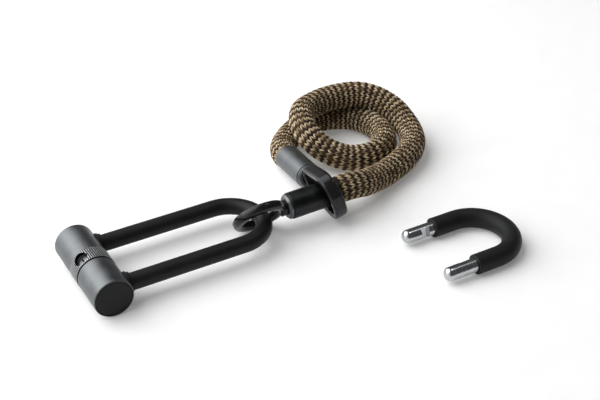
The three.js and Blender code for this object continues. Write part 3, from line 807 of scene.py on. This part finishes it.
def shackle_coat(name, centre, straight, coat_r, edge, body, material, node):
    route = u_route(centre, straight)
    start, end = BARE_LENGTH, route.length - BARE_LENGTH
    inner = STEEL_R + 0.5 * GAP
    profile = rounded([
        (inner, start, 0.3 * MM), (coat_r, start, edge), (coat_r, end, edge), (inner, end, 0.3 * MM)])
    coat = turned(name, route, divided(profile, 1.6 * MM), 64)
    return fit_out(finished(coat), body, "black_rubber", material, node)


def shackles():
    long_bow = BAR + Vector((COLLAR_FACE + GAP + LONG_STRAIGHT, 0, 0))
    short_bow = place(*SPARE_AT, SHORT_COAT_R)
    shackle_bar("long_bar", long_bow, LONG_STRAIGHT, "long_shackle", "long_shackle_steel")
    shackle_coat(
        "long_coat", long_bow, LONG_STRAIGHT, LONG_COAT_R, 0.5 * MM, "long_shackle", "dipped",
        "long_shackle_coating")
    shackle_bar("short_bar", short_bow, SHORT_STRAIGHT, "spare_shackle", "short_shackle_steel")
    shackle_coat(
        "short_coat", short_bow, SHORT_STRAIGHT, SHORT_COAT_R, 0.6 * MM, "spare_shackle", "soft",
        "short_shackle_coating")


# ---------- rope ends ----------
def framed_axis(matrix):
    return axis(matrix.translation, matrix.to_3x3().col[0])


def ferrule(name, matrix, start, material, node):
    """A cup that grips the rope: its mouth has a thin rounded lip that the braid enters."""
    end = start + FERRULE_LENGTH
    inner = ROPE_R - 1.0 * MM
    profile = rounded([
        (NECK_R + GAP, start), (FERRULE_R, start, 0.9 * MM), (FERRULE_R, end, 0.5 * MM),
        (inner, end, 0.25 * MM),
        (inner, end - ROPE_TUCK - 2 * MM), (NECK_R + GAP, end - ROPE_TUCK - 2 * MM)])
    cup = turned(name, framed_axis(matrix), profile, 128)
    return fit_out(finished(cup), "eyelet_rope", "gunmetal", material, node)


def ferrule_ring(name, matrix, start, node):
    """The bevelled ring that closes a ferrule round the eyelet's neck."""
    front, radius = start - GAP, FERRULE_R - 0.8 * MM
    back = front - RING_WIDTH
    profile = rounded([
        (NECK_R + GAP, back), (radius - 1.7 * MM, back, 0.25 * MM), (radius, back + 1.7 * MM, 0.3 * MM),
        (radius, front, 0.25 * MM), (NECK_R + GAP, front)])
    ring = turned(name, framed_axis(matrix), profile, 128)
    return fit_out(finished(ring), "eyelet_rope", "gunmetal", "gunmetal", node)


def rounded_box_section(half_x, half_y, radius):
    signs = ((1, 1), (-1, 1), (-1, -1), (1, -1))
    corners = [(x * half_x, y * half_y, radius) for x, y in signs]
    return divided(rounded(corners, steps=6), 1.5 * MM)


def round_eyelet():
    leaned = SMALL_FRAME @ Matrix.Rotation(SMALL_EYE_LEAN, 4, "X")
    half = SMALL_EYE_THICK / 2
    section = rounded_box_section(half, half, SMALL_EYE_ROUND)
    steps = 128
    rings = []
    for k in range(steps):
        turn = Matrix.Rotation(2 * math.pi * k / steps, 4, "Y")
        rings.append(moved([(SMALL_EYE_MEAN + x, y, 0) for x, y in section], leaned @ turn))
    eyelet = loft("round_eyelet", rings, closed=True)
    line = framed_axis(leaned)
    boolean(eyelet, rod(line, NECK_R, SMALL_EYE_MEAN, SMALL_FERRULE_START + SHANK_DEPTH), "UNION")
    pin_line = axis(leaned.translation, (leaned @ Matrix.Rotation(-EYE_PIN_ANGLE, 4, "Y")).to_3x3().col[0])
    pin_hole = rod(pin_line, EYE_PIN_R, SMALL_EYE_MEAN, SMALL_EYE_MEAN + SMALL_EYE_THICK, 48)
    boolean(eyelet, pin_hole, "DIFFERENCE")
    fit_out(finished(eyelet), "eyelet_rope", "black_steel", "enamel", "small_eyelet")
    top = SMALL_EYE_MEAN + half - 0.1 * MM
    profile = rounded([
        (0, SMALL_EYE_MEAN + GAP), (EYE_PIN_R - 0.2 * MM, SMALL_EYE_MEAN + GAP),
        (EYE_PIN_R - 0.2 * MM, top, 0.45 * MM), (0, top)], closed=False)
    pin = turned("rim_pin", pin_line, profile, 48)
    fit_out(finished(pin), "eyelet_rope", "inner_steel", "steel", "eyelet_pin")


def stirrup_eyelet():
    """A forged bow with flat limbs: narrow at the ferrule, wide at its front bar."""
    back = -RING_WIDTH - 2 * GAP
    web = back - LARGE_EYE_WEB
    rear, front, length = LARGE_EYE_REAR, LARGE_EYE_FRONT, LARGE_EYE_LENGTH
    corner, bow, thick = LARGE_EYE_CORNER, LARGE_EYE_BOW, LARGE_EYE_THICK
    outer = rounded([
        (back, -rear, corner), (back, rear, corner),
        (-length, front, bow), (-length, -front, bow)], steps=18)
    inner = rounded([
        (web, -rear + thick, corner / 4), (web, rear - thick, corner / 4),
        (thick - length, front - thick, bow - thick),
        (thick - length, thick - front, bow - thick)], steps=18)
    plate = LARGE_FRAME @ Matrix.Rotation(math.pi / 2 + LARGE_EYE_LEAN, 4, "X")
    rings = []
    for outside, inside in zip(outer, inner):
        middle, half = (outside + inside) / 2, (outside - inside) / 2
        reach = np.linalg.norm(half)
        section = rounded_box_section(thick / 2, LARGE_EYE_WIDE / 2, LARGE_EYE_EDGE)
        points = [(*(middle + half * (x / (thick / 2))), y) for x, y in section]
        rings.append(moved(points, plate))
    eyelet = loft("stirrup_eyelet", rings, closed=True)
    neck = rod(framed_axis(LARGE_FRAME), NECK_R - 1 * MM, back - LARGE_EYE_WEB / 2, SHANK_DEPTH)
    boolean(eyelet, neck, "UNION")
    return fit_out(finished(eyelet), "eyelet_rope", "black_steel", "enamel", "large_eyelet")


def rope_ends():
    round_eyelet()
    ferrule_ring("round_eyelet_ring", SMALL_FRAME, SMALL_FERRULE_START, "small_ferrule_ring")
    ferrule("round_eyelet_ferrule", SMALL_FRAME, SMALL_FERRULE_START, "dark_metal", "small_ferrule")
    stirrup_eyelet()
    ferrule_ring("stirrup_ring", LARGE_FRAME, 0, "large_ferrule_ring")
    ferrule("stirrup_ferrule", LARGE_FRAME, 0, "gunmetal", "large_ferrule")


# ---------- the CAD pieces that stay ----------
def inner_works():
    finishes = {
        "lock_housing": "steel",
        "drive_cam": "brass",
        "locking_bolt_far": "steel",
        "locking_bolt_near": "steel",
    }
    for node, material in finishes.items():
        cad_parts[node].material_slots[0].material = MATERIALS[material]


# ---------- floor and light ----------
def floor():
    half = 6
    ground = cad_box[0].z - 0.2 * MM
    verts = [(-half, -half, ground), (half, -half, ground), (half, half, ground), (-half, half, ground)]
    sheet = new_object("floor", verts, [(0, 1, 2, 3)])
    nodes = Nodes("floor_paper", Roughness=0.8, Specular_IOR_Level=0.1)
    grain = nodes.noise((40, 40, 40), detail=3.0)
    nodes.link(nodes.ramp(grain, (0.86, 0.86, 0.86), (0.9, 0.9, 0.9)), "Base Color")
    nodes.shader.inputs["Emission Color"].default_value = (1, 1, 1, 1)
    nodes.shader.inputs["Emission Strength"].default_value = 0.15
    sheet.data.materials.append(nodes.material)


def area_light(name, position, target, size, power):
    data = bpy.data.lights.new(name, "AREA")
    data.shape = "RECTANGLE"
    data.size, data.size_y = size
    data.energy = power
    light = bpy.data.objects.new(name, data)
    bpy.context.scene.collection.objects.link(light)
    light.location = position
    light.rotation_euler = (Vector(target) - Vector(position)).to_track_quat("-Z", "Y").to_euler()


def lighting():
    world = bpy.data.worlds.new("studio")
    world.use_nodes = True
    bpy.context.scene.world = world
    tree = world.node_tree
    # a bright studio wall on the left and behind, fading to nearly black on the other sides
    direction = tree.nodes.new("ShaderNodeTexCoord")
    facing = tree.nodes.new("ShaderNodeVectorMath")
    facing.operation = "DOT_PRODUCT"
    facing.inputs[1].default_value = Vector(WALL_DIRECTION).normalized()
    tree.links.new(direction.outputs["Generated"], facing.inputs[0])
    wall = tree.nodes.new("ShaderNodeMapRange")
    for socket, value in WALL_STRENGTH.items():
        wall.inputs[socket].default_value = value
    tree.links.new(facing.outputs["Value"], wall.inputs["Value"])
    tree.links.new(wall.outputs["Result"], tree.nodes["Background"].inputs["Strength"])
    tree.nodes["Background"].inputs["Color"].default_value = (1, 1, 1, 1)
    target = place(*LIGHT_TARGET)
    area_light("key", place(*KEY_AT), target, (KEY_SIZE, KEY_SIZE), KEY_POWER)
    area_light("glint", place(*GLINT_AT), target, (GLINT_SIZE, GLINT_SIZE), GLINT_POWER)
    bpy.context.scene.view_settings.view_transform = "Standard"


camera()
braided_rope()
crossbar()
shackles()
rope_ends()
inner_works()
floor()
lighting()
